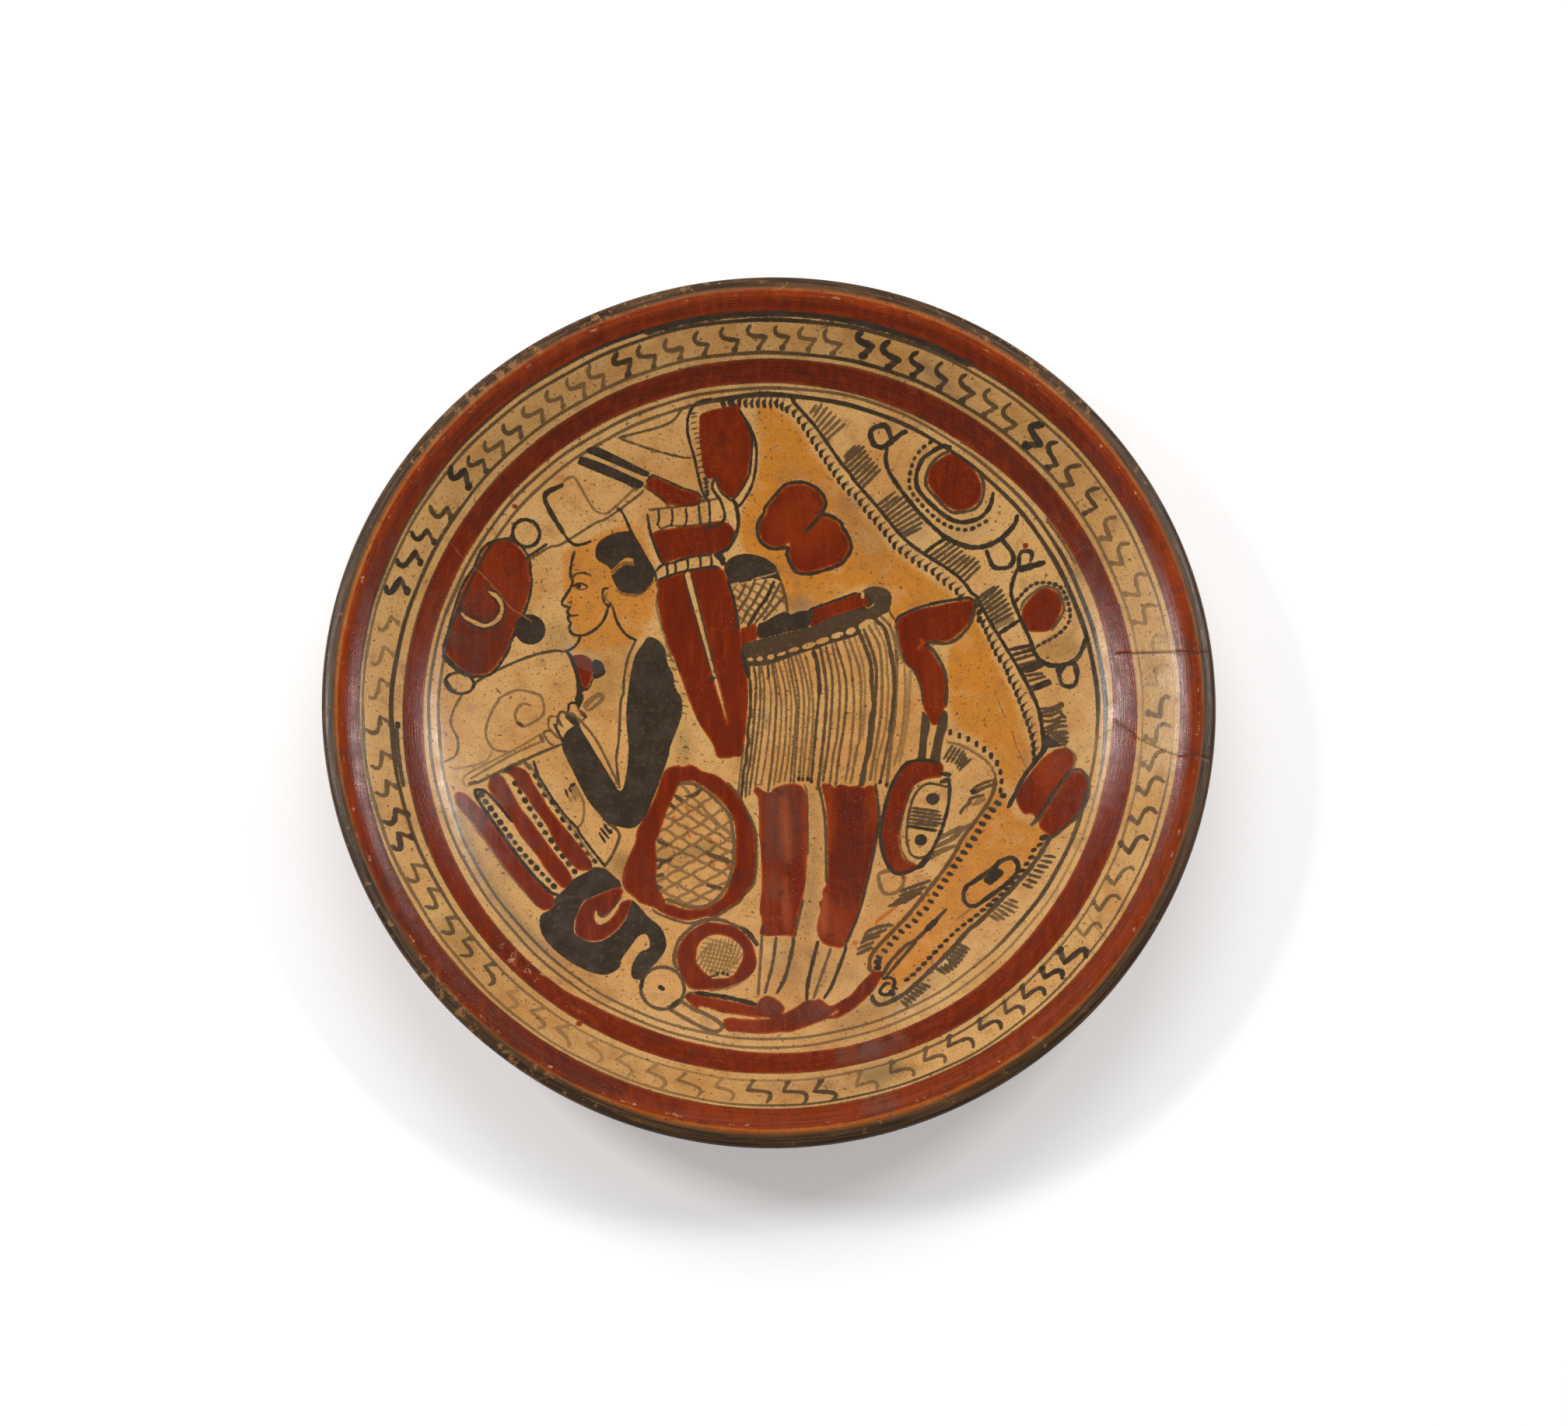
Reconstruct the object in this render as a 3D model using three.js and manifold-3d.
// A painted clay plate that broke and was mended: a wide shallow dish in eight sherds, with two
// filled losses on its breaks. Millimetres, +Z up. The flat base stands on z = 0, the middle of
// the plate is over the origin, and -Y is the edge nearest to someone who reads the painting.
import * as THREE from "three";
import { mergeVertices } from "three/addons/utils/BufferGeometryUtils.js";
import Module from "manifold-3d";

// Driving sizes of the painted side, from the outer edge inwards
const rimRadius = 150;
const lipWidth = 5.5;
const lipDrop = 2.2;
const wallRun = 33.5;
const wallDrop = 16.9;
const floorDrop = 13.8;
const footSlope = THREE.MathUtils.degToRad(18);
// Lengths of the curve handles that round the ridge, the foot of the wall and the floor
const ridgeHandle = 8;
const footHandle = 14.7;
const floorEdgeHandle = 40;
const floorMiddleHandle = 45;

// Driving sizes of the clay
const rimThickness = 6;
const floorThickness = 8;
const baseRadius = 45;

// The plate was shaped by hand, so its rim is a little out of round: waves, size, direction
const unevenness = [
  { waves: 2, size: 0.34, towards: THREE.MathUtils.degToRad(-156) },
  { waves: 3, size: 0.58, towards: THREE.MathUtils.degToRad(129) },
  { waves: 4, size: 0.19, towards: THREE.MathUtils.degToRad(-52) },
];

// Open line left between two mended pieces
const breakGap = 0.3;

// Faces around the plate, and along each curve of its section
const roundSteps = 90;
const floorSteps = 6;
const wallSteps = 7;
const lipSteps = 3;

// Breaks and filled losses are drawn on a grid of squares, so many from the middle to the rim
const squaresToRim = 150;
const square = rimRadius / squaresToRim;

// Each break runs out from the floor sherd's edge to the rim. The list goes counter-clockwise
// from the right. "from" is the corner on the floor sherd, "path" the points on the way,
// "rimAngle" where it reaches the rim, "sherd" the rim piece between it and the next break, and
// "floorEdge" the floor sherd's own edge from this corner to the next one.
const breaks = [
  {
    from: [92, 22],
    path: [[100, 14], [108, 6], [116, -2], [123, -9], [132, -15], [140, -17.5]],
    rimAngle: -7.5,
    sherd: "sherd_right",
    floorEdge: [],
  },
  {
    from: [92, 22],
    path: [[106, 21], [115, 20.5], [127, 19.5], [137, 18]],
    rimAngle: 6.8,
    sherd: "sherd_upper_right",
    floorEdge: [[80, 33], [73, 46], [54, 58]],
  },
  {
    from: [38, 70],
    path: [[50, 76], [59, 90], [67, 106], [55, 120], [47, 131]],
    rimAngle: 73.5,
    sherd: "sherd_top",
    floorEdge: [[22, 73], [10, 82], [-8, 64], [-20, 49], [-24, 26], [-33, 14]],
  },
  {
    from: [-31, -5],
    path: [
      [-36, 1], [-40, 6.5], [-47, 13], [-56, 18], [-70, 28], [-81, 34], [-87, 38], [-94, 46],
      [-104, 54.5], [-114, 65],
    ],
    rimAngle: 149,
    sherd: "sherd_left",
    floorEdge: [[-37, -16], [-35, -29]],
  },
  {
    from: [-46, -42],
    path: [[-58, -47], [-66, -58], [-84, -68], [-92, -79], [-107, -82]],
    rimAngle: 217.5,
    sherd: "sherd_lower_left",
    floorEdge: [[-31, -49], [-20, -62], [0, -65], [12, -74]],
  },
  {
    from: [25, -81],
    path: [[27, -93], [31, -104], [34, -116], [37, -127], [41, -138]],
    rimAngle: 286.8,
    sherd: "sherd_bottom",
    floorEdge: [[36, -68], [50, -62]],
  },
  {
    from: [60, -50],
    path: [[80, -52], [97, -56], [102, -62], [106, -71], [112, -79]],
    rimAngle: 323.2,
    sherd: "sherd_lower_right",
    floorEdge: [[70, -33], [78, -16], [83, 2]],
  },
];
const floorSherd = "sherd_floor";

// Losses filled in when the plate was mended, each an oval plug astride a break
const fills = [
  { name: "fill_left_of_floor", middle: [-63.5, 23], length: 16, width: 7, turn: -35.5 },
  { name: "fill_bottom_band", middle: [35, -121], length: 19, width: 9, turn: -76 },
];
const fillCorners = 14;

// Heights are measured from the ridge at first, and the plate is then lifted onto its base
const ridgeRadius = rimRadius - lipWidth;
const footRadius = ridgeRadius - wallRun;
const point = (r, z) => new THREE.Vector2(r, z);
const alongFoot = (length) =>
  point(footRadius + length * Math.cos(footSlope), length * Math.sin(footSlope) - wallDrop);

const floorCurve = new THREE.CubicBezierCurve(
  point(0, -wallDrop - floorDrop),
  point(floorMiddleHandle, -wallDrop - floorDrop),
  alongFoot(-floorEdgeHandle),
  point(footRadius, -wallDrop),
);
const wallCurve = new THREE.CubicBezierCurve(
  point(footRadius, -wallDrop),
  alongFoot(footHandle),
  point(ridgeRadius - ridgeHandle, 0),
  point(ridgeRadius, 0),
);
const lipCurve = new THREE.QuadraticBezierCurve(
  point(ridgeRadius, 0),
  point(rimRadius, 0),
  point(rimRadius, -lipDrop),
);
const underLipCurve = new THREE.QuadraticBezierCurve(
  point(rimRadius, -lipDrop),
  point(rimRadius, -rimThickness),
  point(ridgeRadius, -rimThickness),
);

// The underside lies one clay thickness below the painted side, square to it. The clay thins
// evenly from the edge of the base to the ridge.
function undersideBelow(curve, t) {
  const top = curve.getPoint(t);
  const tangent = curve.getTangent(t);
  const share = (top.x - baseRadius) / (ridgeRadius - baseRadius);
  const thickness = THREE.MathUtils.lerp(floorThickness, rimThickness, Math.max(share, 0));
  return point(top.x + tangent.y * thickness, top.y - tangent.x * thickness);
}

function curveSharesFrom(steps, start) {
  return Array.from({ length: steps + 1 }, (_, i) => start + ((1 - start) * i) / steps);
}

// Share of the floor curve that lies inside the flat base, found by halving
function shareAtRadius(curve, radius) {
  let low = 0;
  let high = 1;
  for (let i = 0; i < 30; i += 1) {
    const middle = (low + high) / 2;
    if (curve.getPoint(middle).x < radius) low = middle;
    else high = middle;
  }
  return high;
}

function plateSection() {
  const painted = [
    ...floorCurve.getPoints(floorSteps),
    ...wallCurve.getPoints(wallSteps).slice(1),
    ...lipCurve.getPoints(lipSteps).slice(1),
  ];
  const baseShare = shareAtRadius(floorCurve, baseRadius);
  const underside = [
    ...curveSharesFrom(floorSteps - 2, baseShare).map((t) => undersideBelow(floorCurve, t)),
    ...curveSharesFrom(wallSteps - 2, 0).slice(1, -1).map((t) => undersideBelow(wallCurve, t)),
  ];
  const underLip = underLipCurve.getPoints(lipSteps).slice(1).reverse();
  const baseLevel = underside[0].y;
  const section = [point(0, baseLevel), ...underside, ...underLip, ...painted.reverse()];
  return section.map((p) => point(p.x, p.y - baseLevel));
}

// Push each point of the turned plate out or in, most at the rim
function makeUneven(geometry) {
  const position = geometry.getAttribute("position");
  for (let i = 0; i < position.count; i += 1) {
    const x = position.getX(i);
    const y = position.getY(i);
    const r = Math.hypot(x, y);
    if (r === 0) continue;
    const angle = Math.atan2(y, x);
    const push = unevenness.reduce(
      (sum, wave) => sum + wave.size * Math.cos(wave.waves * angle - wave.towards),
      0,
    );
    const factor = 1 + (push * (r / rimRadius) ** 2) / r;
    position.setXY(i, x * factor, y * factor);
  }
  geometry.computeBoundingBox();
  const middle = geometry.boundingBox.getCenter(new THREE.Vector3());
  geometry.translate(-middle.x, -middle.y, 0);
}

const wasm = await Module();
wasm.setup();

function toSolid(geometry) {
  const bare = geometry.clone();
  bare.deleteAttribute("normal");
  bare.deleteAttribute("uv");
  const merged = mergeVertices(bare);
  const index = Array.from(merged.index.array);
  const triVerts = [];
  for (let i = 0; i < index.length; i += 3) {
    const [a, b, c] = index.slice(i, i + 3);
    if (a !== b && b !== c && c !== a) triVerts.push(a, b, c);
  }
  const vertProperties = new Float32Array(merged.getAttribute("position").array);
  const mesh = { numProp: 3, vertProperties, triVerts: new Uint32Array(triVerts) };
  return new wasm.Manifold(new wasm.Mesh(mesh));
}

function toGeometry(solid) {
  const { vertProperties, triVerts } = solid.getMesh();
  const geometry = new THREE.BufferGeometry();
  geometry.setAttribute("position", new THREE.BufferAttribute(vertProperties, 3));
  geometry.setIndex(new THREE.BufferAttribute(triVerts, 1));
  geometry.computeVertexNormals();
  return geometry;
}

// Draw a closed counter-clockwise outline in by a distance, or out if the distance is negative
function drawnIn(outline, distance) {
  return outline.map((corner, i) => {
    const before = outline[(i + outline.length - 1) % outline.length];
    const after = outline[(i + 1) % outline.length];
    const first = corner.clone().sub(before).normalize();
    const second = after.clone().sub(corner).normalize();
    const inward = point(-first.y - second.y, first.x + second.x);
    return corner.clone().addScaledVector(inward, distance / (1 + first.dot(second)));
  });
}

const section = plateSection();
const rimHeight = Math.max(...section.map((p) => p.y));
const clearOfRim = 1.3 * rimRadius;

// A straight-sided column over an outline, taller than the plate
function column(outline) {
  const geometry = new THREE.ExtrudeGeometry(new THREE.Shape(outline), {
    depth: 2 * rimHeight,
    bevelEnabled: false,
  });
  geometry.translate(0, 0, -rimHeight / 2);
  return toSolid(geometry);
}

const onGrid = ([x, y]) => point(x * square, y * square);
const toPoints = (pairs) => pairs.map(onGrid);
const beyondRim = (degrees) => {
  const angle = THREE.MathUtils.degToRad(degrees);
  return point(clearOfRim * Math.cos(angle), clearOfRim * Math.sin(angle));
};

// A rim sherd lies between its own break and the next. Past the rim its outline goes round in
// steps of a few degrees, so that the straight lines between them stay clear of the plate.
function rimSherdOutline(i) {
  const start = breaks[i];
  const end = breaks[(i + 1) % breaks.length];
  const turn = (end.rimAngle - start.rimAngle + 360) % 360;
  const steps = Math.ceil(turn / 20);
  const outside = Array.from({ length: steps + 1 }, (_, k) =>
    beyondRim(start.rimAngle + (turn * k) / steps),
  );
  const outline = [
    ...toPoints([start.from, ...start.path]),
    ...outside,
    ...toPoints([...end.path].reverse()),
  ];
  const corners = [end.from, ...[...start.floorEdge].reverse()];
  const closed = start.from.join() === end.from.join() ? [] : toPoints(corners);
  return [...outline, ...closed];
}

function floorSherdOutline() {
  const corners = breaks.flatMap(({ from, floorEdge }) => [from, ...floorEdge]);
  const distinct = corners.filter((corner, i) => i === 0 || corner.join() !== corners[i - 1].join());
  return toPoints(distinct);
}

function fillOutline({ middle, length, width, turn }) {
  const angle = THREE.MathUtils.degToRad(turn);
  return Array.from({ length: fillCorners }, (_, i) => {
    const around = (2 * Math.PI * i) / fillCorners;
    const corner = onGrid([(length / 2) * Math.cos(around), (width / 2) * Math.sin(around)]);
    return corner.rotateAround(point(0, 0), angle).add(onGrid(middle));
  });
}

const turned = new THREE.LatheGeometry(section, roundSteps);
turned.rotateX(Math.PI / 2);
makeUneven(turned);
const plate = toSolid(turned);

const wholeSherds = [
  ...breaks.map((entry, i) => ({ name: entry.sherd, outline: rimSherdOutline(i) })),
  { name: floorSherd, outline: floorSherdOutline() },
];
const plugHoles = fills.map((fill) => column(drawnIn(fillOutline(fill), -breakGap / 2)));
const sherds = wholeSherds.map(({ name, outline }) => {
  const piece = plate.intersect(column(drawnIn(outline, breakGap / 2)));
  return { name, solid: plugHoles.reduce((rest, hole) => rest.subtract(hole), piece) };
});
const plugs = fills.map((fill) => ({
  name: fill.name,
  solid: plate.intersect(column(drawnIn(fillOutline(fill), breakGap / 2))),
}));

// Burnished slip over orange-buff clay, and duller tinted filler
const slipColours = {
  sherd_right: 0xb07a50,
  sherd_upper_right: 0xb8783c,
  sherd_top: 0xa86a38,
  sherd_left: 0x9c6440,
  sherd_lower_left: 0xa06438,
  sherd_bottom: 0xa4602c,
  sherd_lower_right: 0xb47034,
  sherd_floor: 0xa8602c,
};
const fillColour = 0x9a8448;

const group = new THREE.Group();
function addPiece(name, solid, color, roughness) {
  const material = new THREE.MeshStandardMaterial({ color, roughness, metalness: 0 });
  const mesh = new THREE.Mesh(toGeometry(solid), material);
  mesh.name = name;
  group.add(mesh);
}
sherds.forEach(({ name, solid }) => addPiece(name, solid, slipColours[name], 0.4));
plugs.forEach(({ name, solid }) => addPiece(name, solid, fillColour, 0.7));

export default group;
